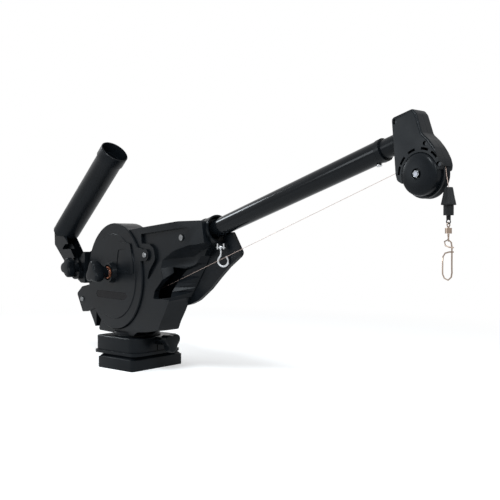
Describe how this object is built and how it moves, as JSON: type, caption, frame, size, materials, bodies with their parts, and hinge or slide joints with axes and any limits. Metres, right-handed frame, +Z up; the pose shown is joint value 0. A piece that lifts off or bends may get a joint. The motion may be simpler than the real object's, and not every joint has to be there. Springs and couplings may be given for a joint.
{
  "type": "downrigger",
  "caption": "Downrigger on a swivel base: wire reel in a round housing, straight boom with a pulley head, swinging rod holder, and a wire with a swivel snap.",
  "frame": {"origin": "centre of the mounting plate's underside, on the deck", "axes": "+Z up, +X along the boom towards the pulley head, -Y towards the clutch knob's side"},
  "size_m": [1.1103, 0.2093, 0.5039],
  "materials": {
    "black_plastic": "matt moulded",
    "gloss_black": "gloss",
    "boom_black": "gloss black",
    "display": "gloss, dark window",
    "steel": "polished",
    "dark_steel": "darkened steel",
    "motor_grey": "satin",
    "bronze": "satin",
    "rubber": "matt",
    "wire": "fine wire"
  },
  "bodies": {
    "base": {"mount_plate": "black_plastic", "base_screw_1": "steel", "base_screw_2": "steel", "base_screw_3": "steel", "base_screw_4": "steel", "swivel_block": "black_plastic", "lock_stud": "steel"},
    "lock_knob": {"lock_knob": "black_plastic"},
    "reel_frame": {"swivel_post": "black_plastic", "frame": "black_plastic", "side_cover": "black_plastic", "cover_screw_1": "steel", "cover_screw_2": "steel", "badge_plate": "gloss_black", "shaft_bearing": "steel", "far_plate": "black_plastic", "far_plate_screw_1": "steel", "far_plate_screw_2": "steel", "drive_belt": "rubber", "motor_plate": "steel", "motor": "motor_grey", "motor_cover": "black_plastic", "counter_bezel": "gloss_black", "counter_window": "display", "power_gland": "rubber", "boom_tube": "boom_black", "boom_seal": "rubber", "socket_screw": "steel", "boom_plug": "black_plastic", "boom_end_screw": "steel", "hook_eye": "steel", "rod_bracket": "black_plastic", "bracket_screw_1": "steel", "bracket_screw_2": "steel", "wire_run": "wire"},
    "reel": {"spool": "black_plastic", "wound_wire": "wire", "spool_shaft": "steel", "drive_pulley": "black_plastic", "clutch_disc": "bronze"},
    "clutch_knob": {"clutch_knob": "black_plastic"},
    "motor_rotor": {"motor_pulley": "steel"},
    "rocker": {"rocker_switch": "black_plastic"},
    "hook": {"ball_hook": "steel"},
    "rod_holder": {"rod_holder": "black_plastic", "rod_pin": "steel"},
    "rod_knob": {"rod_knob": "black_plastic"},
    "head": {"head_near": "black_plastic", "head_far": "black_plastic", "head_screw_1": "dark_steel", "head_screw_2": "dark_steel", "head_screw_3": "dark_steel", "wheel_axle": "dark_steel", "wheel_nut": "steel", "wire_drop": "wire", "terminator": "rubber", "terminator_sleeve": "rubber"},
    "wheel": {"head_wheel": "black_plastic"},
    "swivel": {"swivel_barrel": "steel"},
    "snap": {"snap_link": "steel"}
  },
  "joints": [
    {"name": "base_swivel", "type": "hinge", "parent": "base", "child": "reel_frame", "pos_m": [-0.0035, -0.0057, 0.07], "axis": [0, 0, 1], "range_deg": [-90, 90]},
    {"name": "lock_turn", "type": "hinge", "parent": "base", "child": "lock_knob", "pos_m": [-0.0035, -0.0057, 0.0614], "axis": [0.9848, 0.1736, 0], "continuous": true},
    {"name": "reel_spin", "type": "hinge", "parent": "reel_frame", "child": "reel", "pos_m": [-0.034, -0.023, 0.2074], "axis": [0, 1, 0], "continuous": true},
    {"name": "clutch_turn", "type": "hinge", "parent": "reel", "child": "clutch_knob", "pos_m": [-0.034, -0.09, 0.2074], "axis": [0, 1, 0], "continuous": true},
    {"name": "motor_spin", "type": "hinge", "parent": "reel_frame", "child": "motor_rotor", "pos_m": [0.038, 0.025, 0.173], "axis": [0, 1, 0], "continuous": true},
    {"name": "rocker_tilt", "type": "hinge", "parent": "reel_frame", "child": "rocker", "pos_m": [0.042, 0.098, 0.177], "axis": [1, 0, 0], "range_deg": [-6, 6]},
    {"name": "hook_swing", "type": "hinge", "parent": "reel_frame", "child": "hook", "pos_m": [0.3013, -0.006, 0.26577], "axis": [0.809, 0.5878, 0], "range_deg": [-1.5, 1]},
    {"name": "rod_swing", "type": "hinge", "parent": "reel_frame", "child": "rod_holder", "pos_m": [-0.18, -0.052, 0.2144], "axis": [0, 1, 0], "range_deg": [-20, 20]},
    {"name": "rod_knob_turn", "type": "hinge", "parent": "rod_holder", "child": "rod_knob", "pos_m": [-0.18, -0.08, 0.2144], "axis": [0, 1, 0], "continuous": true},
    {"name": "head_swivel", "type": "hinge", "parent": "reel_frame", "child": "head", "pos_m": [0.7224, 0, 0.42476], "axis": [0.9632, 0, 0.2688], "range_deg": [-30, 30]},
    {"name": "wheel_spin", "type": "hinge", "parent": "head", "child": "wheel", "pos_m": [0.7725, 0.0024, 0.37489], "axis": [0, 1, 0], "continuous": true},
    {"name": "swivel_swing", "type": "hinge", "parent": "head", "child": "swivel", "pos_m": [0.80925, 0.0024, 0.30409], "axis": [1, 0, 0], "range_deg": [-30, 30]},
    {"name": "snap_spin", "type": "hinge", "parent": "swivel", "child": "snap", "pos_m": [0.80925, 0.0024, 0.285], "axis": [0, 0, 1], "continuous": true}
  ],
  "couplings": [
    {"joint": "motor_spin", "follows": "reel_spin", "ratio": 3.7778},
    {"joint": "wheel_spin", "follows": "reel_spin", "ratio": -2.2977}
  ]
}
